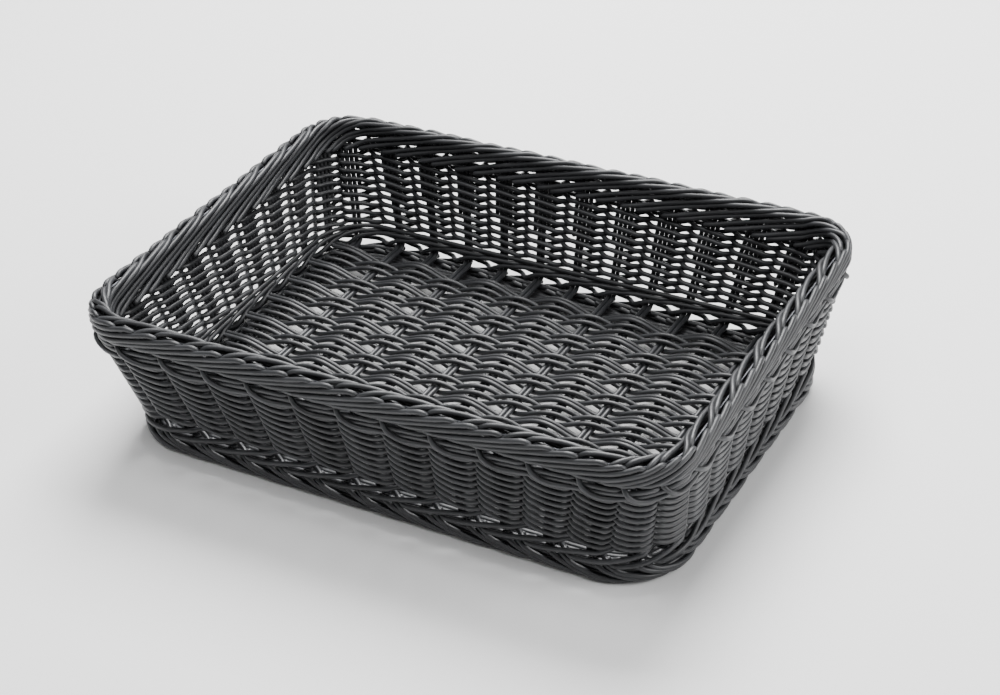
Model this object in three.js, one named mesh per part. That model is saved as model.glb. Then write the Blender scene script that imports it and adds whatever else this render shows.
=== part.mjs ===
// Rectangular woven bread basket, in millimetres, +Z up, origin at the middle of the foot's underside.
// Groups of three round strands stand round the wall as stakes. Each one runs down one wall, across the
// base and up the wall opposite, and the rows of weaving pass in and out between them.
import * as THREE from 'three';

// Overall sizes
const rim_length = 400;
const rim_width = 300;
const height = 100;
const rim_corner_radius = 39;
const foot_corner_radius = 45;
const foot_inset_ends = 13;
const foot_inset_sides = 17.5;

// Strands and the clearance between neighbours
const strand = 3.2;
const strands_in_stake = 3;
const strand_slit = 0.2;
const clearance = 0.35;

// Borders, the wire in the rim and the rows between
const rim_clearance = 1.7;
const rim_border_height = 16;
const rim_border_round = 3.5;
const foot_border_height = 12;
const foot_border_round = 2;
const wire_diameter = 3;
const lower_wale_height = 7;
const upper_wale_height = 4.5;
const wale_gap = 1;
const wales_above = 2;
const wales_below = 2;
const row_count = 9;

// Stakes along each side: their places are shares of half the wall line's straight stretch
const side_stakes = 11;
const side_stake_spacing = 0.1914;
const side_stake_shift = 0.03;
const end_stakes = 7;
const end_stake_spacing = 0.292;
const corner_angle_side = 33;
const corner_angle_end = 66;
const stake_bend = 5;
const turn_margin = 1.2;
const weavers_in_gap = 2;
const weaver_clearance = 0.9;
const corner_steps = 6;

// Worked out from the sizes above
const stake_width = strands_in_stake * strand + (strands_in_stake - 1) * strand_slit;
const square_strand = strand * Math.sqrt(Math.PI) / 2;
const border_width = 3 * strand + 2 * rim_clearance;
const wall_top = height - rim_border_height;
const base_level = foot_border_height + clearance + strand / 2;
const base_wave = strand + clearance;
const row_wave = strand / 2 + clearance + square_strand / 2;
const wire_level = height - strand - clearance - wire_diameter / 2;
const stake_top = wire_level - wire_diameter / 2 - clearance;
const rows_start = foot_border_height + wales_below * lower_wale_height;
const row_pitch = (wall_top - wales_above * upper_wale_height - rows_start) / row_count;

const plastic = new THREE.MeshStandardMaterial({ color: '#36373a', roughness: 0.45, metalness: 0 });
const steel = new THREE.MeshStandardMaterial({ color: '#b4b6b8', roughness: 0.35, metalness: 1 });
const basket = new THREE.Group();

function lerp(a, b, t) {
  return a + (b - a) * t;
}

// Half length, half width and corner radius of the line that the stakes stand on, at one height.
// The borders are upright, and the wall leans out from the foot to the rim.
function wallLine(z) {
  const lean = THREE.MathUtils.clamp((wall_top - z) / (wall_top - base_level), 0, 1);
  return {
    length: rim_length / 2 - border_width / 2 - lean * foot_inset_ends,
    width: rim_width / 2 - border_width / 2 - lean * foot_inset_sides,
    radius: lerp(rim_corner_radius, foot_corner_radius, lean) - border_width / 2,
  };
}

// A closed skin over a list of sections with equal point counts: a ring, or a bar with two flat ends.
function skin(sections, ring) {
  const corners = sections[0].length;
  const positions = sections.flat().flatMap((point) => point.toArray());
  const index = [];
  const spans = ring ? sections.length : sections.length - 1;
  for (let s = 0; s < spans; s += 1) {
    const near = s * corners;
    const far = ((s + 1) % sections.length) * corners;
    for (let c = 0; c < corners; c += 1) {
      const next = (c + 1) % corners;
      index.push(near + c, far + c, near + next);
      index.push(near + next, far + c, far + next);
    }
  }
  if (!ring) {
    const last = (sections.length - 1) * corners;
    for (let c = 1; c < corners - 1; c += 1) {
      index.push(0, c, c + 1);
      index.push(last, last + c + 1, last + c);
    }
  }
  const geometry = new THREE.BufferGeometry();
  geometry.setAttribute('position', new THREE.Float32BufferAttribute(positions, 3));
  geometry.setIndex(signedVolume(positions, index) < 0 ? index.reverse() : index);
  geometry.computeVertexNormals();
  return geometry;
}

function signedVolume(positions, index) {
  const corner = (i) => new THREE.Vector3().fromArray(positions, 3 * index[i]);
  let volume = 0;
  for (let i = 0; i < index.length; i += 3) {
    volume += corner(i).dot(corner(i + 1).cross(corner(i + 2))) / 6;
  }
  return volume;
}

function addPiece(name, geometry, material) {
  const piece = new THREE.Mesh(geometry, material);
  piece.name = name;
  basket.add(piece);
}

// A plain ring that follows the wall line: its section is a list of [offset outward, height].
function borderRing(section) {
  const sections = [];
  for (let corner = 0; corner < 4; corner += 1) {
    for (let step = 0; step <= corner_steps; step += 1) {
      const angle = (corner + step / corner_steps) * Math.PI / 2;
      const signX = corner === 0 || corner === 3 ? 1 : -1;
      const signY = corner < 2 ? 1 : -1;
      sections.push(section.map(([offset, z]) => {
        const line = wallLine(z);
        const reach = line.radius + offset;
        return new THREE.Vector3(
          signX * (line.length - line.radius) + reach * Math.cos(angle),
          signY * (line.width - line.radius) + reach * Math.sin(angle),
          z,
        );
      }));
    }
  }
  return skin(sections, true);
}

// A stake's place on the wall line: at(z) is its point, and outward is its flat side's direction.
function sideStation(sign, share) {
  const at = (z) => {
    const { length, width, radius } = wallLine(z);
    return new THREE.Vector3(share * (length - radius), sign * width, z);
  };
  return station(at, new THREE.Vector3(0, sign, 0));
}

function endStation(sign, share) {
  const at = (z) => {
    const { length, width, radius } = wallLine(z);
    return new THREE.Vector3(sign * length, share * (width - radius), z);
  };
  return station(at, new THREE.Vector3(sign, 0, 0));
}

function cornerStation(signX, signY, degrees) {
  const angle = THREE.MathUtils.degToRad(degrees);
  const outward = new THREE.Vector3(signX * Math.sin(angle), signY * Math.cos(angle), 0);
  const at = (z) => {
    const { length, width, radius } = wallLine(z);
    return new THREE.Vector3(signX * (length - radius), signY * (width - radius), z)
      .addScaledVector(outward, radius);
  };
  return station(at, outward);
}

function station(at, outward) {
  return { at, outward, along: new THREE.Vector3(-outward.y, outward.x, 0) };
}

// The stations of one long side from left to right, and of one end from front to back
function longSide(sign) {
  const middle = Array.from({ length: side_stakes }, (_, i) => sideStation(
    sign, side_stake_shift + (i - (side_stakes - 1) / 2) * side_stake_spacing));
  return [cornerStation(-1, sign, corner_angle_side), ...middle, cornerStation(1, sign, corner_angle_side)];
}

function shortEnd(sign) {
  const middle = Array.from({ length: end_stakes }, (_, i) => endStation(
    sign, (i - (end_stakes - 1) / 2) * end_stake_spacing));
  return [cornerStation(sign, -1, corner_angle_end), ...middle, cornerStation(sign, 1, corner_angle_end)];
}

const front = longSide(-1);
const back = longSide(1);
const left = shortEnd(-1);
const right = shortEnd(1);
const round_the_wall = [...front, ...right, ...back.toReversed(), ...left.toReversed()];

// A flat bar along a path: each step has a point and the direction of the bar's width.
function bar(steps, width, thickness) {
  const sections = steps.map(({ point, across }, i) => {
    const before = steps[Math.max(i - 1, 0)].point;
    const after = steps[Math.min(i + 1, steps.length - 1)].point;
    const into = point.clone().sub(before).normalize();
    const out = after.clone().sub(point).normalize();
    const half_turn = i === 0 || i === steps.length - 1 ? 0 : into.angleTo(out) / 2;
    const flat = new THREE.Vector3().crossVectors(across, into.add(out)).normalize();
    const half_thickness = thickness / 2 / Math.cos(half_turn);
    return [[1, 1], [-1, 1], [-1, -1], [1, -1]].map(([w, t]) => point.clone()
      .addScaledVector(across, w * width / 2)
      .addScaledVector(flat, t * half_thickness));
  });
  return skin(sections, false);
}

// The steps down one wall and round the bend into the base
function wallSteps(place, inward, level, across) {
  const bend = place.at(level + stake_bend);
  const inside = place.at(base_level).addScaledVector(inward, stake_bend).setZ(level);
  const sign = Math.sign(place.along.dot(across));
  const along = place.along.clone().multiplyScalar(sign);
  return [
    { point: place.at(stake_top), across: along },
    { point: place.at(wall_top), across: along },
    { point: bend, across: along },
    { point: inside, across },
  ];
}

// The steps of a piece that passes over and under the crosswise stakes
function wavySteps(y, first_side, across) {
  return front.flatMap((place, i) => {
    const x = place.at(base_level).x;
    const reach = stake_width / 2 + turn_margin;
    const z = base_level + (i % 2 ? -first_side : first_side) * base_wave;
    return [-reach, reach].map((dx) => ({ point: new THREE.Vector3(x + dx, y, z), across }));
  });
}

function crosswiseStake(i) {
  const across = new THREE.Vector3(1, 0, 0);
  const down = wallSteps(front[i], new THREE.Vector3(0, 1, 0), base_level, across);
  const up = wallSteps(back[i], new THREE.Vector3(0, -1, 0), base_level, across).toReversed();
  return bar([...down, ...up], stake_width, strand);
}

function lengthwiseStake(j) {
  const across = new THREE.Vector3(0, 1, 0);
  const level = base_level + base_wave;
  const down = wallSteps(left[j], new THREE.Vector3(1, 0, 0), level, across);
  const up = wallSteps(right[j], new THREE.Vector3(-1, 0, 0), level, across).toReversed();
  return bar([...down, ...wavySteps(left[j].at(base_level).y, 1, across), ...up], stake_width, strand);
}

// One of the weavers that share the gap between lengthwise stakes j and j + 1
function baseWeaver(j, i) {
  const start = left[j].at(base_level).y + stake_width / 2;
  const gap = left[j + 1].at(base_level).y - stake_width / 2 - start;
  const pitch = (gap - weaver_clearance) / weavers_in_gap;
  const y = start + weaver_clearance / 2 + (i + 0.5) * pitch;
  return bar(wavySteps(y, -1, new THREE.Vector3(0, 1, 0)), pitch - weaver_clearance, square_strand);
}

// One row of weaving: outside one stake and inside the next, all the way round
function wovenRow(z, first_side) {
  const half = square_strand / 2;
  const corners = [[-half, -half], [half, -half], [half, half], [-half, half]];
  const sections = round_the_wall.flatMap((place, i) => {
    const side = (i % 2 ? -first_side : first_side) * row_wave;
    return [-1, 1].map((end) => corners.map(([offset, rise]) => place.at(z + rise)
      .addScaledVector(place.along, end * (stake_width / 2 + clearance))
      .addScaledVector(place.outward, side + offset)));
  });
  return skin(sections, true);
}

// One row of waling, which lies outside the stakes
function waleRing(z, room) {
  const inner = strand / 2 + 3 * clearance;
  const outer = inner + strand;
  const half = (room - wale_gap) / 2;
  return borderRing([[inner, z - half], [outer, z - half], [outer, z + half], [inner, z + half]]);
}

// The rolled rim is open underneath, where the stakes run up into it.
function rimBorder() {
  const outer = border_width / 2;
  const inner = outer - strand;
  const shoulder = height - rim_border_round;
  const flat = outer - rim_border_round;
  return borderRing([
    [outer, wall_top], [outer, shoulder], [flat, height], [-flat, height], [-outer, shoulder],
    [-outer, wall_top], [-inner, wall_top], [-inner, height - strand], [inner, height - strand],
    [inner, wall_top],
  ]);
}

function footBorder() {
  const outer = border_width / 2;
  const flat = outer - foot_border_round;
  return borderRing([
    [flat, 0], [outer, foot_border_round], [outer, foot_border_height - foot_border_round],
    [flat, foot_border_height], [-flat, foot_border_height],
    [-outer, foot_border_height - foot_border_round], [-outer, foot_border_round], [-flat, 0],
  ]);
}

function rimWire() {
  const sides = 6;
  const section = Array.from({ length: sides }, (_, i) => {
    const angle = i / sides * 2 * Math.PI;
    const radius = wire_diameter / 2;
    return [radius * Math.cos(angle), wire_level + radius * Math.sin(angle)];
  });
  return borderRing(section);
}

addPiece('foot_border', footBorder(), plastic);
front.forEach((_, i) => addPiece(`cross_stake_${i + 1}`, crosswiseStake(i), plastic));
left.forEach((_, j) => addPiece(`long_stake_${j + 1}`, lengthwiseStake(j), plastic));
for (let k = 0; k < (left.length - 1) * weavers_in_gap; k += 1) {
  const geometry = baseWeaver(Math.floor(k / weavers_in_gap), k % weavers_in_gap);
  addPiece(`base_weaver_${k + 1}`, geometry, plastic);
}
for (let i = 0; i < wales_below; i += 1) {
  const z = foot_border_height + (i + 0.5) * lower_wale_height;
  addPiece(`lower_wale_${i + 1}`, waleRing(z, lower_wale_height), plastic);
}
for (let i = 0; i < row_count; i += 1) {
  addPiece(`row_${i + 1}`, wovenRow(rows_start + (i + 0.5) * row_pitch, i % 2 ? -1 : 1), plastic);
}
for (let i = 0; i < wales_above; i += 1) {
  const z = wall_top - (wales_above - i - 0.5) * upper_wale_height;
  addPiece(`upper_wale_${i + 1}`, waleRing(z, upper_wale_height), plastic);
}
addPiece('rim_wire', rimWire(), steel);
addPiece('rim_border', rimBorder(), plastic);

export default basket;
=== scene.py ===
import math

import bpy
import numpy as np
from bpy.props import FloatProperty, FloatVectorProperty, IntProperty, PointerProperty
from mathutils import Matrix, Vector


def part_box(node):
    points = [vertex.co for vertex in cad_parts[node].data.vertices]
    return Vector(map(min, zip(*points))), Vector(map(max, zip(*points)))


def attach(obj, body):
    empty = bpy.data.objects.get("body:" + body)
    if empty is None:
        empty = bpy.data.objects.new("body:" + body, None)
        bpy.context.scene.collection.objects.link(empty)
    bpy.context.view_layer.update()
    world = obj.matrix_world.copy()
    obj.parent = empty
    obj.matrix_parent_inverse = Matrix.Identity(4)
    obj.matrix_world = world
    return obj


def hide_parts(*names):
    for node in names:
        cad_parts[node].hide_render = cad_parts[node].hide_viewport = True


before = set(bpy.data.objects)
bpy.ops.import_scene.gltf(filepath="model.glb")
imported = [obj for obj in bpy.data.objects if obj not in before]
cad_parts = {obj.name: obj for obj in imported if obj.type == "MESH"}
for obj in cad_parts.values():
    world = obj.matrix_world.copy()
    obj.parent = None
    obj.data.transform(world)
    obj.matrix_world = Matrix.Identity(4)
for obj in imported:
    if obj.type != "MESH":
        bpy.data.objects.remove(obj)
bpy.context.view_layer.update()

bl_info = {
    "name": "Woven bread basket",
    "version": (1, 0, 0),
    "blender": (4, 5, 0),
    "location": "View3D > Sidebar > Basket",
    "description": "Weaves a rectangular bread basket of round plastic strands round its packed frame",
    "category": "Object",
}

MM = 0.001
BODY = "root"


def numbered(prefix):
    """The frame's nodes that are a prefix and a number, in the order of their numbers."""
    names = [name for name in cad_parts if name.startswith(prefix)]
    return sorted(names, key=lambda name: int(name[len(prefix):]))


CROSS_STAKES = numbered("cross_stake_")
LONG_STAKES = numbered("long_stake_")
WEAVERS = numbered("base_weaver_")
ROWS = numbered("row_")
LOWER_WALES = numbered("lower_wale_")
UPPER_WALES = numbered("upper_wale_")


def linear(hex_colour):
    """An sRGB hex value as linear red, green and blue."""
    parts = [int(hex_colour[i:i + 2], 16) / 255 for i in (0, 2, 4)]
    return [p / 12.92 if p <= 0.04045 else ((p + 0.055) / 1.055) ** 2.4 for p in parts]


# Sizes and colours

class BasketSizes(bpy.types.PropertyGroup):
    """Sizes that the frame's boxes don't give."""
    rim_corner: FloatProperty(
        name="Rim corner radius", description="Outer radius of the rim's corners",
        default=39 * MM, unit="LENGTH")
    foot_corner: FloatProperty(
        name="Foot corner radius", description="Outer radius of the foot's corners",
        default=45 * MM, unit="LENGTH")
    border_width: FloatProperty(
        name="Border width", description="Thickness of the rim and foot borders, from inside to outside",
        default=13 * MM, unit="LENGTH")
    corner_turn_side: FloatProperty(
        name="First corner stake", description="Turn from the long side to its corner stake",
        default=math.radians(33), unit="ROTATION")
    corner_turn_end: FloatProperty(
        name="Second corner stake", description="Turn from the long side to the end's corner stake",
        default=math.radians(66), unit="ROTATION")
    strand: FloatProperty(
        name="Strand", description="Diameter of the strands in the stakes and borders",
        default=3.2 * MM, unit="LENGTH")
    row_strand: FloatProperty(
        name="Row strand", description="Diameter of the strands in the woven rows",
        default=3.35 * MM, unit="LENGTH")
    rim_strand: FloatProperty(
        name="Rim strand", description="Diameter of the strands in the rim border",
        default=3.35 * MM, unit="LENGTH")
    sides: IntProperty(
        name="Strand sides", description="Sides of the round section of each strand", default=8)


class BasketColours(bpy.types.PropertyGroup):
    """Colours of the basket's finishes and of the stage."""
    plastic: FloatVectorProperty(
        name="Strand plastic", description="Body colour of the black strands",
        subtype="COLOR", default=linear("232426"), min=0, max=1)
    worn_plastic: FloatVectorProperty(
        name="Strand bloom", description="Colour where the strands have greyed with handling",
        subtype="COLOR", default=linear("4a4b4e"), min=0, max=1)
    steel: FloatVectorProperty(
        name="Wire steel", description="Colour of the drawn steel wire",
        subtype="COLOR", default=linear("3c3d40"), min=0, max=1)
    floor: FloatVectorProperty(
        name="Floor", description="Colour of the plain pale floor",
        subtype="COLOR", default=linear("f4f4f4"), min=0, max=1)


# The wall line and the places on it

class Wall:
    """The line that the stakes stand on, at any height, and the stakes' places along it."""

    # A lap of the wall in eight stretches, front side first: which corner centre a point is
    # at or between, and which way the wall faces there
    LAP = np.arange(9)
    CENTRE_X = (-1, 1, 1, 1, 1, -1, -1, -1, -1)
    CENTRE_Y = (-1, -1, -1, 1, 1, 1, 1, -1, -1)
    FACING = np.radians((-90, -90, 0, 0, 90, 90, 180, 180, 270))

    def __init__(self, sizes):
        rim_low, rim_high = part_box("rim_border")
        foot_low, foot_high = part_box("foot_border")
        half = sizes.border_width / 2
        self.top = rim_low.z
        self.rim_top = rim_high.z
        self.foot_top = foot_high.z
        self.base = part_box(CROSS_STAKES[0])[0].z + sizes.strand / 2
        self.length = (foot_high.x - half, rim_high.x - half)
        self.width = (foot_high.y - half, rim_high.y - half)
        self.radius = (sizes.foot_corner - half, sizes.rim_corner - half)
        self.bend, self.ends = self.stretches()
        places = self.stake_places(sizes)
        self.count = len(places)
        self.stake_at = self.distance(places)
        self.stake_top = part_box(CROSS_STAKES[0])[1].z
        self.base_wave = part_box(CROSS_STAKES[0])[0].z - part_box(LONG_STAKES[1])[0].z
        self.stake_x = self.points(np.arange(len(CROSS_STAKES)), self.base, 0)[:, 0]

    def crossing(self, x):
        """The number of the crosswise stake at x on the base, with parts between stakes."""
        return np.interp(x, self.stake_x, np.arange(len(self.stake_x)))

    def line(self, z):
        """Half length, half width and corner radius at heights z."""
        span = (self.base, self.top)
        return [np.interp(z, span, ends) for ends in (self.length, self.width, self.radius)]

    def stretches(self):
        """Half way up, the length of a corner and how far round the wall each stretch of a lap ends."""
        length, width, radius = self.line((self.base + self.top) / 2)
        straights = 2 * (length - radius), 2 * (width - radius)
        bend = math.pi / 2 * radius
        return bend, np.cumsum([0] + 2 * [straights[0], bend, straights[1], bend])

    def distance(self, lap):
        """How far round the wall places of a lap are, half way up."""
        return np.interp(lap, self.LAP, self.ends) + np.where(lap < 0, lap * self.bend, 0)

    def stake_places(self, sizes):
        """The stakes' places, from the front left corner round to the right."""
        side = [self.share(n, 0) for n in CROSS_STAKES[1:-1]]
        end = [self.share(n, 1) for n in LONG_STAKES[1:-1]]
        near, far = (turn / (math.pi / 2) for turn in (sizes.corner_turn_side, sizes.corner_turn_end))
        places = [-near] + [(1 + s) / 2 for s in side] + [1 + near, 1 + far]
        places += [2 + (1 + s) / 2 for s in end] + [4 - far, 4 - near]
        places += [4 + (1 - s) / 2 for s in reversed(side)] + [5 + near, 5 + far]
        places += [6 + (1 - s) / 2 for s in reversed(end)] + [8 - far]
        return np.array(places)

    def share(self, node, axis):
        """A stake's place as a share of half the straight stretch that it stands on."""
        low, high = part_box(node)
        half = self.length if axis == 0 else self.width
        straights = sum(half) - sum(self.radius)
        return (low[axis] + high[axis]) / straights

    def facing(self, station):
        """Which lap place a station number is at, and the angle that the wall faces there."""
        station = np.asarray(station, float)
        stops = np.append(self.stake_at, self.stake_at[0] + self.ends[-1])
        along = np.interp(station % self.count, np.arange(self.count + 1), stops)
        lap = np.interp(along % self.ends[-1], self.ends, self.LAP)
        return lap, np.interp(lap, self.LAP, self.FACING)

    def points(self, station, z, out):
        """Points at station numbers, heights z and distances out from the wall line."""
        lap, angle = self.facing(station)
        length, width, radius = self.line(z)
        x = np.interp(lap, self.LAP, self.CENTRE_X) * (length - radius) + (radius + out) * np.cos(angle)
        y = np.interp(lap, self.LAP, self.CENTRE_Y) * (width - radius) + (radius + out) * np.sin(angle)
        return np.stack([x, y, z + 0 * x], axis=1)

    def outward(self, station):
        """The level directions straight out of the wall at station numbers."""
        angle = self.facing(station)[1]
        return np.stack([np.cos(angle), np.sin(angle), 0 * angle], axis=1)


def through(keys, at, period=None):
    """A smooth line through listed (place, value) keys, read at places. With a period, it repeats."""
    place, value = (np.array(column, float) for column in zip(*keys))
    if period:
        at = place[0] + (at - place[0]) % period
        place = np.concatenate([place[-2:-1] - period, place, place[1:2] + period])
        value = np.concatenate([value[-2:-1], value, value[1:2]])
    slope = np.gradient(value, place)
    i = np.clip(np.searchsorted(place, at, side="right") - 1, 0, len(place) - 2)
    gap = place[i + 1] - place[i]
    t = np.clip((at - place[i]) / gap, 0, 1)
    rise = value[i + 1] - value[i]
    ease = t * t * (3 - 2 * t)
    return value[i] + rise * ease + gap * t * (1 - t) * (slope[i] * (1 - t) - slope[i + 1] * t)


# Strands

# Where the two rings of a rounded tip stand, as angles round its ball from the strand's own section
TIP_TURNS = (80, 45)


class Strands:
    """Round strands gathered into one mesh, with each point's place on its own strand in millimetres."""

    def __init__(self, sides):
        self.sides = sides
        self.points = []
        self.faces = []
        self.on_strand = []
        self.number = []
        self.count = 0

    def lay(self, path, diameter, keep_to, closed=False):
        """Lays a strand along a path. Its section keeps to one direction, or to one for each point."""
        keep_to = np.broadcast_to(keep_to, path.shape)
        radius = np.full(len(path), diameter / 2)
        if not closed:
            path, radius, keep_to = rounded_tips(path, radius, keep_to)
        ahead = np.roll(path, -1, axis=0) - np.roll(path, 1, axis=0)
        if not closed:
            ahead[0], ahead[-1] = path[1] - path[0], path[-1] - path[-2]
        ahead = unit(ahead)
        normal = unit(keep_to - ahead * np.sum(ahead * keep_to, axis=1, keepdims=True))
        side = np.cross(ahead, normal)
        turn = np.arange(self.sides) * 2 * math.pi / self.sides
        section = np.stack([np.cos(turn), np.sin(turn)], axis=1)
        ring = section[None, :, :1] * normal[:, None] + section[None, :, 1:] * side[:, None]
        self.points.append((path[:, None] + radius[:, None, None] * ring).reshape(-1, 3))
        run = np.concatenate([[0], np.cumsum(np.linalg.norm(np.diff(path, axis=0), axis=1))])
        place = np.empty((len(path), self.sides, 3))
        place[:, :, 0] = run[:, None]
        place[:, :, 1:] = radius[:, None, None] * section
        self.on_strand.append(place.reshape(-1, 3) / MM)
        self.number.append(np.full(len(path) * self.sides, len(self.number)))
        self.skin(len(path), closed)

    def skin(self, rings, closed):
        """Adds the faces between a strand's rings, and its end faces unless it is closed."""
        near = np.arange(rings if closed else rings - 1)[:, None] * self.sides
        far = (near + self.sides) % (rings * self.sides)
        corner = np.arange(self.sides)
        following = (corner + 1) % self.sides
        quads = np.stack([near + corner, near + following, far + following, far + corner], axis=2)
        self.faces += (quads.reshape(-1, 4) + self.count).tolist()
        if not closed:
            self.faces.append((corner[::-1] + self.count).tolist())
            self.faces.append((corner + (rings - 1) * self.sides + self.count).tolist())
        self.count += rings * self.sides

    def piece(self, name, material, slot, *replaced):
        """The gathered strands as one piece that stands for CAD nodes."""
        mesh = bpy.data.meshes.new(name)
        mesh.from_pydata(np.vstack(self.points).tolist(), [], self.faces)
        place = mesh.attributes.new("on_strand", "FLOAT_VECTOR", "POINT")
        place.data.foreach_set("vector", np.vstack(self.on_strand).astype(np.float32).ravel())
        number = mesh.attributes.new("strand_number", "FLOAT", "POINT")
        number.data.foreach_set("value", np.concatenate(self.number).astype(np.float32))
        mesh.polygons.foreach_set("use_smooth", np.ones(len(mesh.polygons), bool))
        mesh.materials.append(material)
        piece = bpy.data.objects.new(name, mesh)
        bpy.context.scene.collection.objects.link(piece)
        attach(piece, BODY)
        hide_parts(*replaced)
        return piece


def unit(vectors):
    """The vectors, each made one long."""
    return vectors / np.linalg.norm(vectors, axis=1, keepdims=True)


def rounded_tips(path, radius, keep_to):
    """A path, its radii and its directions, with a rounded tip added at both ends."""
    turn = np.radians(TIP_TURNS)
    ends = unit(np.array([path[0] - path[1], path[-1] - path[-2]]))
    reach = (radius[0] * np.sin(turn))[:, None]
    path = np.vstack([path[0] + reach * ends[0], path, path[-1] + reach[::-1] * ends[1]])
    tips = radius[0] * np.cos(turn)
    radius = np.concatenate([tips, radius, tips[::-1]])
    keep_to = np.vstack([keep_to[:1], keep_to[:1], keep_to, keep_to[-1:], keep_to[-1:]])
    return path, radius, keep_to


def swing(at, emerges, dives, ramp, period):
    """1 where a strand runs outside the stakes and -1 where it runs inside them."""
    start = emerges - ramp
    stops = (start, emerges + ramp, dives - ramp, dives + ramp, start + period)
    return np.sin(math.pi / 2 * np.interp(start + (at - start) % period, stops, (-1, 1, 1, -1, -1)))


# Materials

def add(tree, kind, inputs=None, **settings):
    """Adds a node with its settings. Each input is a value, or a socket to link from."""
    node = tree.nodes.new(kind)
    for name, value in settings.items():
        setattr(node, name, value)
    for name, value in (inputs or {}).items():
        if isinstance(value, bpy.types.NodeSocket):
            tree.links.new(value, node.inputs[name])
        else:
            node.inputs[name].default_value = value
    return node


def new_material(name):
    """A material with an empty node tree, and the tree."""
    material = bpy.data.materials.new(name)
    material.use_nodes = True
    material.node_tree.nodes.clear()
    return material, material.node_tree


def extruded_polypropylene(colours):
    """Polypropylene strand, pulled through a die and cooled in water, then woven.

    Its skin is satin, so each round strand carries one soft highlight along its length. The die leaves
    fine lines along the strand that break the highlight up a little, and handling greys it in patches.
    """
    material, tree = new_material("extruded_polypropylene")
    place = add(tree, "ShaderNodeAttribute", attribute_name="on_strand").outputs["Vector"]
    number = add(tree, "ShaderNodeAttribute", attribute_name="strand_number").outputs["Fac"]
    # Die lines 40 mm long and 0.5 mm apart, drawn coarser than the real ones so that they show
    along_die = add(tree, "ShaderNodeVectorMath", {0: place, 1: (1 / 40, 2, 2)}, operation="MULTIPLY")
    die_lines = add(tree, "ShaderNodeTexNoise", {
        "Vector": along_die.outputs[0], "W": number, "Scale": 1, "Detail": 2, "Roughness": 0.6},
        noise_dimensions="4D").outputs["Fac"]
    # Bloom in patches about 25 mm long and 5 mm round the strand
    along_bloom = add(tree, "ShaderNodeVectorMath", {
        0: place, 1: (1 / 25, 1 / 5, 1 / 5)}, operation="MULTIPLY")
    bloom = add(tree, "ShaderNodeTexNoise", {
        "Vector": along_bloom.outputs[0], "W": number, "Scale": 1, "Detail": 3},
        noise_dimensions="4D").outputs["Fac"]
    shade = add(tree, "ShaderNodeTexWhiteNoise", {"W": number}, noise_dimensions="1D").outputs["Value"]
    bloom_share = add(tree, "ShaderNodeMapRange", {
        "Value": bloom, "From Min": 0.35, "From Max": 0.75, "To Min": 0, "To Max": 0.4}).outputs["Result"]
    # Each strand is also a little greyer or blacker than the next
    strand_share = add(tree, "ShaderNodeMath", {
        0: shade, 1: 0.25, 2: bloom_share}, operation="MULTIPLY_ADD")
    colour = add(tree, "ShaderNodeMix", {
        "Factor": strand_share.outputs[0], 6: (*colours.plastic, 1), 7: (*colours.worn_plastic, 1)},
        data_type="RGBA").outputs[2]
    roughness = add(tree, "ShaderNodeMapRange", {
        "Value": die_lines, "From Min": 0.3, "From Max": 0.7,
        "To Min": 0.36, "To Max": 0.48}).outputs["Result"]
    relief = add(tree, "ShaderNodeBump", {
        "Height": die_lines, "Strength": 0.5, "Distance": 0.05 * MM}).outputs["Normal"]
    shader = add(tree, "ShaderNodeBsdfPrincipled", {
        "Base Color": colour, "Roughness": roughness, "IOR": 1.49, "Normal": relief}).outputs[0]
    add(tree, "ShaderNodeOutputMaterial", {"Surface": shader})
    return material


def drawn_steel(colours):
    """Black annealed steel wire, drawn through a die and left with its dark oxide.

    The oxide keeps it dark in the gaps of the rim, and marks from the die make its gloss uneven.
    """
    material, tree = new_material("drawn_steel")
    place = add(tree, "ShaderNodeTexCoord").outputs["Object"]
    # Draw marks 1 mm apart
    marks = add(tree, "ShaderNodeTexNoise", {"Vector": place, "Scale": 1000, "Detail": 2}).outputs["Fac"]
    roughness = add(tree, "ShaderNodeMapRange", {
        "Value": marks, "From Min": 0.3, "From Max": 0.7, "To Min": 0.28, "To Max": 0.42}).outputs["Result"]
    shader = add(tree, "ShaderNodeBsdfPrincipled", {
        "Base Color": (*colours.steel, 1), "Metallic": 1, "Roughness": roughness}).outputs[0]
    add(tree, "ShaderNodeOutputMaterial", {"Surface": shader})
    return material


def painted_board(colours):
    """White painted board, rolled, with a matt face."""
    material, tree = new_material("painted_board")
    place = add(tree, "ShaderNodeTexCoord").outputs["Object"]
    # Roller stipple 2 mm apart
    stipple = add(tree, "ShaderNodeTexNoise", {"Vector": place, "Scale": 500, "Detail": 2}).outputs["Fac"]
    relief = add(tree, "ShaderNodeBump", {"Height": stipple, "Strength": 0.1, "Distance": 0.05 * MM})
    shader = add(tree, "ShaderNodeBsdfPrincipled", {
        "Base Color": (*colours.floor, 1), "Roughness": 0.8, "Normal": relief.outputs["Normal"]}).outputs[0]
    add(tree, "ShaderNodeOutputMaterial", {"Surface": shader})
    return material


def finish_of(name, maker, context):
    """The named material, made once."""
    return bpy.data.materials.get(name) or maker(context.scene.basket_colours)


def plastic_of(context):
    """The plastic that the woven strands are made of."""
    return finish_of("extruded_polypropylene", extruded_polypropylene, context)


# Pieces

UP = np.array([0.0, 0.0, 1.0])

# Points along a strand: how many from one stake to the next, how far apart on the wall and on the base,
# how many in a stake's bend, counting the wall's last one, and how many in a tail
STATION_STEPS = 14
WALL_STEP = 4 * MM
BASE_STEP = 3 * MM
BEND_STEPS = 6
TAIL_STEPS = 16

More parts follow.
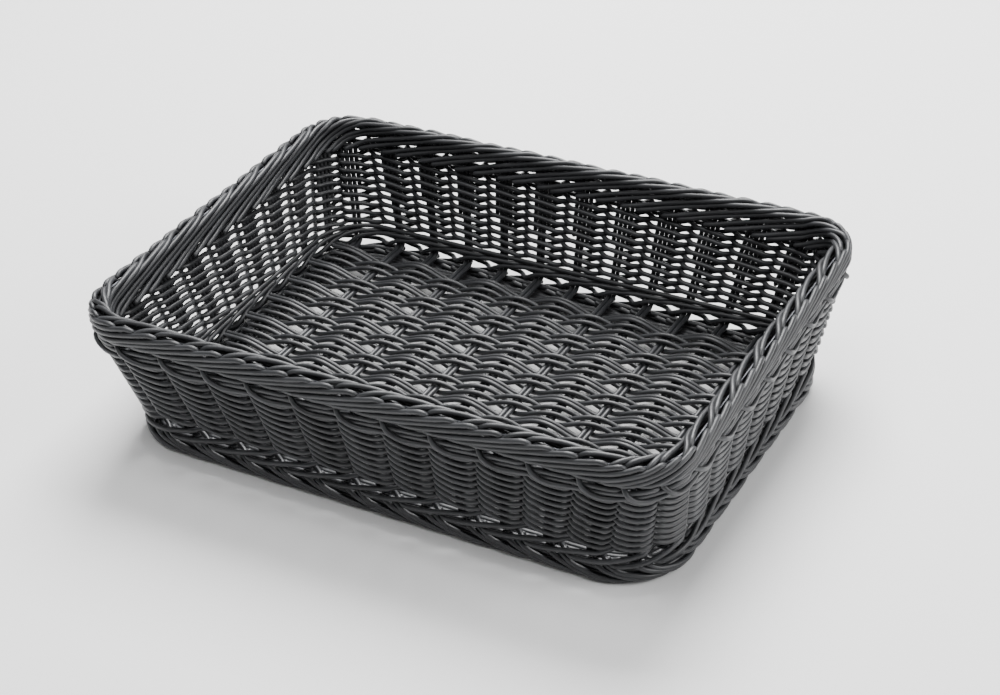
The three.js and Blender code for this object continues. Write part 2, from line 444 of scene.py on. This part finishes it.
# A stake is two strands, each this far from its middle, that bend on to the base within this distance.
# Beside them a tail comes down from the rim on each side, and its end varies in height.
STAKE_HALF = 1.65 * MM
STAKE_BEND = 5 * MM
TAIL_PLACE = 5.0 * MM
TAIL_BOTTOM = 50 * MM
TAIL_VARIES = 3 * MM

# A row strand's rise in mm through a lap of two stakes, from where it comes out between stakes:
# it drops steeply over the strand that it crosses, and climbs slowly back behind the next
ROW_RISE = ((-0.5, 4.4), (-0.3, 2.1), (-0.1, 0.3), (0.05, 0), (0.3, 0.6), (0.5, 1.5), (0.75, 2.7),
            (1.0, 3.5), (1.25, 4.1), (1.5, 4.4))
ROW_OUT = (-0.57, 0.43, 0.2)
ROW_REACH = 3.2 * MM
ROW_DROP = 1.7 * MM

# The strands of a wale, each one stake behind the last: (station, rise mm, reach outward mm). Under the
# rim a strand passes outside three stakes and inside one, and over the foot outside two and inside two.
# The lifts place the keys' zero from the top of the foot border and from the bottom of the upper wale.
WALE_STRANDS = 4
LOWER_WALE_LIFT = 1.6 * MM
UPPER_WALE_LIFT = -2.0 * MM
UPPER_WALE = ((-0.55, 10.4, 0), (-0.38, 6.2, 5.4), (-0.2, 2.6, 6.4), (0.0, 0.7, 5.8), (0.3, 0.8, 4.6),
              (0.7, 2.2, 3.8), (1.1, 3.9, 3.4), (1.7, 6.2, 3.4), (2.2, 7.6, 3.2), (2.35, 7.4, 2.4),
              (2.5, 7.0, 0), (2.7, 6.6, -3.2), (3.0, 7.0, -3.4), (3.25, 8.6, -3.0), (3.45, 10.4, 0))
LOWER_WALE = ((-0.6, 0, 0), (-0.42, -0.2, 4.2), (-0.1, 0.6, 5.6), (0.3, 2.4, 5.4), (0.7, 4.8, 4.4),
              (1.05, 7.0, 3.4), (1.25, 8.4, 2.8), (1.4, 9.4, 0), (1.6, 9.6, -3.2), (2.0, 9.2, -3.5),
              (2.6, 7.6, -3.5), (3.0, 5.6, -3.5), (3.2, 3.2, -2.8), (3.4, 0, 0))
# Straight rounds, by distance out from the wall line and height: one closes the gap between the lower
# wale and the first row, four fill the foot border and three lie under the edge of the base
PACKING = (-3.4 * MM, 26.2 * MM)
FOOT_CORE = ((1.4 * MM, 8.4 * MM), (1.4 * MM, 5.0 * MM), (-1.7 * MM, 10.4 * MM), (-1.7 * MM, 7.0 * MM))
FOOT_EDGE = ((-8.2 * MM, 7.0 * MM), (-11.5 * MM, 7.0 * MM), (-14.8 * MM, 7.0 * MM))
# Hand weaving strays from its line. Rows wave up and down by this much, so many times round. Border
# strands shift up or down by this much, and along by this share of a station. The turns are how far
# those fixed waves go on from one station to the next, in radians.
ROW_WANDER = 0.3 * MM
ROW_WAVES = 7
STROKE_WANDER = 0.25 * MM
STROKE_TURN = 2.4
TIP_WANDER = 0.05
TIP_TURN = 4.1

# Border strands: (station, reach outward mm, depth mm below the rim's top or height mm above the floor).
# The rim has two outside strokes to a station, and the lift keeps the foot's strands off the floor.
RIM_STROKE_SHIFTS = (0, 0.49)
FOOT_LIFT = 0.45 * MM
RIM_STROKE = ((-2.4, 1.9, 11.5), (-2.2, 2.4, 14.0), (-1.95, 3.4, 14.6), (-1.7, 4.5, 13.2),
              (-1.3, 4.8, 10.6), (-0.9, 4.8, 7.9), (-0.5, 4.7, 5.2), (-0.25, 4.3, 3.4), (-0.08, 3.6, 2.6),
              (0.03, 3.0, 3.6), (0.08, 2.6, 5.4))
RIM_SHORT_ROPE = ((0.10, 3.2, 5.0), (0.19, 2.6, 2.9), (0.35, 0.6, 1.6), (0.6, -2.8, 1.6),
                  (0.84, -4.7, 2.6), (1.15, -4.9, 4.8), (1.6, -4.9, 8.6), (2.05, -5.1, 12.2),
                  (2.45, -5.8, 15.6), (2.85, -6.5, 19.0), (3.1, -6.3, 20.8))
RIM_LONG_ROPE = ((0.50, 0.8, 5.0), (0.58, 0.2, 2.8), (0.75, -1.2, 1.7), (1.05, -3.2, 1.6),
                 (1.4, -4.7, 2.6), (1.75, -4.9, 4.8), (2.2, -4.9, 8.6), (2.65, -5.1, 12.2),
                 (3.05, -5.8, 15.6), (3.45, -6.5, 19.0), (3.7, -6.3, 20.8))
FOOT_STROKES = (((0.0, 1.2, 11.6), (0.12, 3.0, 11.3), (0.3, 4.5, 9.4), (0.6, 4.9, 6.6), (0.95, 4.9, 4.2),
                 (1.35, 4.0, 2.3), (1.8, 1.8, 1.6), (2.3, -1.6, 1.8), (2.7, -4.2, 3.9), (3.1, -4.8, 7.6),
                 (3.4, -5.0, 10.2)),
                ((0.29, 1.2, 11.6), (0.42, 3.0, 11.0), (0.62, 4.6, 8.6), (0.95, 4.9, 6.2), (1.3, 4.9, 4.0),
                 (1.7, 3.6, 2.2), (2.1, 1.4, 1.6), (2.6, -2.0, 1.9), (3.0, -4.4, 4.2), (3.4, -4.8, 8.0),
                 (3.7, -5.0, 10.2)))


def column(keys, i):
    """Keys as (place, value) pairs, with the value at index i."""
    return [(key[0], key[i]) for key in keys]


def lay_round(strands, wall, rise, out, diameter, start=0):
    """A strand that goes once round the wall and joins itself."""
    at = np.arange(wall.count * STATION_STEPS) / STATION_STEPS
    path = wall.points(at, rise(at - start), out(at - start))
    strands.lay(path, diameter, wall.outward(at), closed=True)


def lay_level(strands, wall, out, level, diameter):
    """A straight round, at one distance out from the wall line and one height."""
    lay_round(strands, wall, lambda at: level + 0 * at, lambda at: out + 0 * at, diameter)


def lay_stroke(strands, wall, station, keys, height_of, diameter):
    """A border strand from one key to the last, past a station."""
    at = np.arange(keys[0][0], keys[-1][0], 1 / STATION_STEPS)
    stray = math.sin(STROKE_TURN * (station + keys[0][0]))
    z = height_of(through(column(keys, 2), at) * MM) + STROKE_WANDER * stray
    station += TIP_WANDER * math.sin(TIP_TURN * station)
    path = wall.points(station + at, z, through(column(keys, 1), at) * MM)
    strands.lay(path, diameter, wall.outward(station + at))


def weave_row(wall, sizes, node):
    """A row of two strands that twist about each other between stakes."""
    strands = Strands(sizes.sides)
    low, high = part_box(node)
    bottom = (low.z + high.z) / 2 - ROW_DROP
    for start in (0, 1):
        lay_round(strands, wall,
                  lambda at: bottom + through(ROW_RISE, at, 2) * MM + ROW_WANDER * np.sin(
                      2 * math.pi * ROW_WAVES / wall.count * (at + start) + bottom / MM),
                  lambda at: ROW_REACH * swing(at, *ROW_OUT, 2), sizes.row_strand, start)
    return strands


def weave_wale(wall, sizes, keys, bottom):
    """A wale of like strands, each one stake behind the last, along its keys."""
    strands = Strands(sizes.sides)
    for start in range(WALE_STRANDS):
        lay_round(strands, wall,
                  lambda at: bottom + through(column(keys, 1), at, WALE_STRANDS) * MM,
                  lambda at: through(column(keys, 2), at, WALE_STRANDS) * MM, sizes.strand, start)
    return strands


def wall_to_base(wall, station, across, inward, offset, level):
    """A stake strand from the top of one wall down to the base, with its offset from the stake's middle."""
    facing = wall.outward([station])[0]
    along = np.cross(UP, facing)
    along *= np.sign(along @ across)
    steps = int((wall.stake_top - level - STAKE_BEND) / WALL_STEP)
    z = np.linspace(wall.stake_top, level + STAKE_BEND, steps)
    down = wall.points(np.full(steps, station), z, 0)
    landing = wall.points([station], wall.base, 0)[0] + STAKE_BEND * inward
    landing[2] = level
    turn = np.linspace(0, math.pi / 2, BEND_STEPS)[1:, None]
    ease = np.hstack([1 - np.cos(turn), 1 - np.cos(turn), np.sin(turn)])
    bend = down[-1] + (landing - down[-1]) * ease
    sideways = along + (across - along) * turn / (math.pi / 2)
    return np.vstack([down + offset * along, bend + offset * sideways])


def stake_strand(wall, near, far, across, inward, offset, wave):
    """A strand down one wall, across the base and up the wall opposite."""
    ends = [wall.points([station], wall.base, 0)[0] for station in (near, far)]
    down, up = [wall_to_base(wall, station, across, way * inward, offset, wall.base + wave(end[0]))
                for station, end, way in zip((near, far), ends, (1, -1))]
    steps = int(np.linalg.norm(up[-1] - down[-1]) / BASE_STEP)
    flat = down[-1] + (up[-1] - down[-1]) * np.linspace(0, 1, steps)[1:-1, None]
    flat[:, 2] = wall.base + wave(flat[:, 0])
    return np.vstack([down, flat, up[::-1]])


def tail_strand(wall, station, offset):
    """The end of a border strand that comes back down the wall beside a stake."""
    bottom = TAIL_BOTTOM + TAIL_VARIES * math.sin(STROKE_TURN * station + offset / MM)
    z = np.linspace(bottom, wall.stake_top, TAIL_STEPS)
    facing = wall.outward([station])[0]
    return wall.points(np.full(len(z), station), z, 0) + offset * np.cross(UP, facing)


def weave_stake(wall, sizes, near, far, across, inward, wave):
    """The two strands of a stake from wall to wall, and the tails beside them on both walls."""
    strands = Strands(sizes.sides)
    for side in (-1, 1):
        path = stake_strand(wall, near, far, across, inward, side * STAKE_HALF, wave)
        strands.lay(path, sizes.strand, across)
    for station in (near, far):
        facing = wall.outward([station])[0]
        for side in (-1, 1):
            strands.lay(tail_strand(wall, station, side * TAIL_PLACE), sizes.strand, facing)
    return strands


def weave_base_pair(wall, sizes, node):
    """Two strands twisted about each other, over one crosswise stake and under the next."""
    strands = Strands(sizes.sides)
    low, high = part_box(node)
    x = np.arange(low.x, high.x, BASE_STEP)
    twist = math.pi * wall.crossing(x)
    for side in (-1, 1):
        path = np.stack([x, (low.y + high.y) / 2 + side * sizes.strand / 2 * np.sin(twist),
                         wall.base + side * wall.base_wave * np.cos(twist)], axis=1)
        strands.lay(path, sizes.strand, UP)
    return strands


# Steps, one for each piece or group of like pieces

def wall_of(context):
    """The wall that the scene's sizes give, and those sizes."""
    return Wall(context.scene.basket_sizes), context.scene.basket_sizes


class BASKET_OT_foot_border(bpy.types.Operator):
    """Plait the foot border"""
    bl_idname = "basket.foot_border"
    bl_label = "Foot border"

    def execute(self, context):
        wall, sizes = wall_of(context)
        strands = Strands(sizes.sides)
        for station in range(wall.count):
            for keys in FOOT_STROKES:
                lay_stroke(strands, wall, station, keys, lambda height: height + FOOT_LIFT, sizes.strand)
        for out, level in FOOT_CORE + FOOT_EDGE:
            lay_level(strands, wall, out, level, sizes.strand)
        strands.piece("foot_plait", plastic_of(context), "borders", "foot_border")
        return {"FINISHED"}


class BASKET_OT_stakes(bpy.types.Operator):
    """Set the stakes, down one wall, across the base and up the wall opposite"""
    bl_idname = "basket.stakes"
    bl_label = "Stakes"

    def execute(self, context):
        wall, sizes = wall_of(context)
        # The station on the back wall that the first one on the front wall faces
        last = 2 * len(CROSS_STAKES) + len(LONG_STAKES) - 1
        for i, node in enumerate(CROSS_STAKES):
            strands = weave_stake(wall, sizes, i, last - i, np.array([1.0, 0, 0]), np.array([0, 1.0, 0]),
                                  lambda x: 0 * x)
            strands.piece(f"cross_stake_strands_{i + 1}", plastic_of(context), "stakes", node)
        for j, node in enumerate(LONG_STAKES):
            strands = weave_stake(wall, sizes, wall.count - 1 - j, len(CROSS_STAKES) + j,
                                  np.array([0, 1.0, 0]), np.array([1.0, 0, 0]),
                                  lambda x: wall.base_wave * np.cos(math.pi * wall.crossing(x)))
            strands.piece(f"long_stake_strands_{j + 1}", plastic_of(context), "stakes", node)
        return {"FINISHED"}


class BASKET_OT_base(bpy.types.Operator):
    """Weave the twisted pairs of the base"""
    bl_idname = "basket.base"
    bl_label = "Base weavers"

    def execute(self, context):
        wall, sizes = wall_of(context)
        for k, node in enumerate(WEAVERS):
            strands = weave_base_pair(wall, sizes, node)
            strands.piece(f"base_pair_{k + 1}", plastic_of(context), "base_weave", node)
        return {"FINISHED"}


class BASKET_OT_rows(bpy.types.Operator):
    """Weave the rows of the wall"""
    bl_idname = "basket.rows"
    bl_label = "Rows"

    def execute(self, context):
        wall, sizes = wall_of(context)
        for i, node in enumerate(ROWS):
            strands = weave_row(wall, sizes, node)
            strands.piece(f"woven_row_{i + 1}", plastic_of(context), "wall_weave", node)
        return {"FINISHED"}


class BASKET_OT_wales(bpy.types.Operator):
    """Weave the wales under the rim and over the foot"""
    bl_idname = "basket.wales"
    bl_label = "Wales"

    def execute(self, context):
        wall, sizes = wall_of(context)
        lower = weave_wale(wall, sizes, LOWER_WALE, wall.foot_top + LOWER_WALE_LIFT)
        lay_level(lower, wall, *PACKING, sizes.strand)
        lower.piece("lower_wale", plastic_of(context), "wall_weave", *LOWER_WALES)
        upper = weave_wale(wall, sizes, UPPER_WALE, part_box(UPPER_WALES[0])[0].z + UPPER_WALE_LIFT)
        upper.piece("upper_wale", plastic_of(context), "wall_weave", *UPPER_WALES)
        return {"FINISHED"}


class BASKET_OT_rim_wire(bpy.types.Operator):
    """Lay the wire that stiffens the rim"""
    bl_idname = "basket.rim_wire"
    bl_label = "Rim wire"

    def execute(self, context):
        wall, sizes = wall_of(context)
        low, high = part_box("rim_wire")
        wire = Strands(sizes.sides)
        lay_level(wire, wall, 0, (low.z + high.z) / 2, high.z - low.z)
        steel = finish_of("drawn_steel", drawn_steel, context)
        wire.piece("rim_wire_ring", steel, "rim_wire", "rim_wire")
        return {"FINISHED"}


class BASKET_OT_rim_border(bpy.types.Operator):
    """Plait the rim border"""
    bl_idname = "basket.rim_border"
    bl_label = "Rim border"

    def execute(self, context):
        wall, sizes = wall_of(context)
        outside = Strands(sizes.sides)
        inside = Strands(sizes.sides)
        for station in range(wall.count):
            for shift in RIM_STROKE_SHIFTS:
                lay_stroke(outside, wall, station + shift, RIM_STROKE, lambda depth: wall.rim_top - depth,
                           sizes.rim_strand)
            for keys in (RIM_SHORT_ROPE, RIM_LONG_ROPE):
                lay_stroke(inside, wall, station, keys, lambda depth: wall.rim_top - depth,
                           sizes.rim_strand)
        outside.piece("rim_strokes", plastic_of(context), "borders", "rim_border")
        inside.piece("rim_ropes", plastic_of(context), "borders", "rim_border")
        return {"FINISHED"}


class BASKET_OT_stage(bpy.types.Operator):
    """Set the pale floor, the soft lights and the camera"""
    bl_idname = "basket.stage"
    bl_label = "Stage"

    def execute(self, context):
        add_floor(context)
        add_lights(context)
        add_camera(context)
        return {"FINISHED"}


# Stage

FLOOR_HALF = 5.0
ROOM_BRIGHTNESS = 0.32
# Square lights: (name, place, aim, side, watts)
LIGHTS = (("key_light", (1.6, 0.3, 1.0), (0, 0, 0.05), 1.0, 22),
          ("back_light", (-0.3, 1.1, 1.6), (0, 0, 0.05), 1.2, 100),
          ("front_light", (-0.2, -0.4, 2.1), (0, 0.1, 0.05), 1.2, 26))
# Millimetres for the sensor and lens, degrees for the angles and metres for the rest
CAMERA_SENSOR = 36
CAMERA_LENS = 75.24
CAMERA_AZIMUTH = 29.82
CAMERA_ELEVATION = 33.05
CAMERA_ROLL = -2.69
CAMERA_AIM = (-0.018, 0.059, 0)
CAMERA_DISTANCE = 1.38


def add_floor(context):
    """The pale floor that the basket stands on."""
    mesh = bpy.data.meshes.new("floor")
    corners = [(x * FLOOR_HALF, y * FLOOR_HALF, 0) for x, y in ((-1, -1), (1, -1), (1, 1), (-1, 1))]
    mesh.from_pydata(corners, [], [(0, 1, 2, 3)])
    mesh.materials.append(finish_of("painted_board", painted_board, context))
    floor = bpy.data.objects.new("floor", mesh)
    context.scene.collection.objects.link(floor)


def add_light(context, name, place, aim, size, watts):
    """A square light at a place, turned to its aim and hidden from the camera."""
    light = bpy.data.lights.new(name, "AREA")
    light.shape = "SQUARE"
    light.size = size
    light.energy = watts
    lamp = bpy.data.objects.new(name, light)
    lamp.location = place
    lamp.rotation_mode = "QUATERNION"
    lamp.rotation_quaternion = (Vector(aim) - Vector(place)).to_track_quat("-Z", "Y")
    lamp.visible_camera = False
    context.scene.collection.objects.link(lamp)


def add_lights(context):
    """The even light of the room, and the soft lights round the basket."""
    world = bpy.data.worlds.new("soft_room")
    world.use_nodes = True
    background = world.node_tree.nodes["Background"]
    background.inputs["Color"].default_value = (1, 1, 1, 1)
    background.inputs["Strength"].default_value = ROOM_BRIGHTNESS
    context.scene.world = world
    for light in LIGHTS:
        add_light(context, *light)


def add_camera(context):
    """The camera, level but for its roll, looking at its aim."""
    lens = bpy.data.cameras.new("camera")
    lens.sensor_width = CAMERA_SENSOR
    lens.lens = CAMERA_LENS
    camera = bpy.data.objects.new("camera", lens)
    angles = (CAMERA_AZIMUTH, CAMERA_ELEVATION, CAMERA_ROLL)
    turn, rise, roll = (math.radians(angle) for angle in angles)
    back = Vector((math.sin(turn) * math.cos(rise), -math.cos(turn) * math.cos(rise), math.sin(rise)))
    right = Vector((math.cos(turn), math.sin(turn), 0))
    upward = back.cross(right)
    right, upward = (right * math.cos(roll) + upward * math.sin(roll),
                     upward * math.cos(roll) - right * math.sin(roll))
    place = Matrix((right, upward, back)).transposed().to_4x4()
    place.translation = Vector(CAMERA_AIM) + back * CAMERA_DISTANCE
    camera.matrix_world = place
    context.scene.collection.objects.link(camera)
    context.scene.camera = camera


# Sidebar

STEPS = ("foot_border", "stakes", "base", "rows", "wales", "rim_wire", "rim_border", "stage")


class VIEW3D_PT_basket(bpy.types.Panel):
    """Lists the basket's sizes, colours and steps"""
    bl_label = "Woven bread basket"
    bl_space_type = "VIEW_3D"
    bl_region_type = "UI"
    bl_category = "Basket"

    def draw(self, context):
        listing = self.layout.column()
        for group in (context.scene.basket_sizes, context.scene.basket_colours):
            for name in group.__annotations__:
                listing.prop(group, name)
        for step in STEPS:
            listing.operator(f"basket.{step}")


CLASSES = (BasketSizes, BasketColours, BASKET_OT_foot_border, BASKET_OT_stakes, BASKET_OT_base,
           BASKET_OT_rows, BASKET_OT_wales, BASKET_OT_rim_wire, BASKET_OT_rim_border, BASKET_OT_stage,
           VIEW3D_PT_basket)


def register():
    for item in CLASSES:
        bpy.utils.register_class(item)
    bpy.types.Scene.basket_sizes = PointerProperty(type=BasketSizes)
    bpy.types.Scene.basket_colours = PointerProperty(type=BasketColours)


def unregister():
    del bpy.types.Scene.basket_colours
    del bpy.types.Scene.basket_sizes
    for item in reversed(CLASSES):
        bpy.utils.unregister_class(item)


def main():
    register()
    for step in STEPS:
        getattr(bpy.ops.basket, step)()


if __name__ == "__main__":
    main()
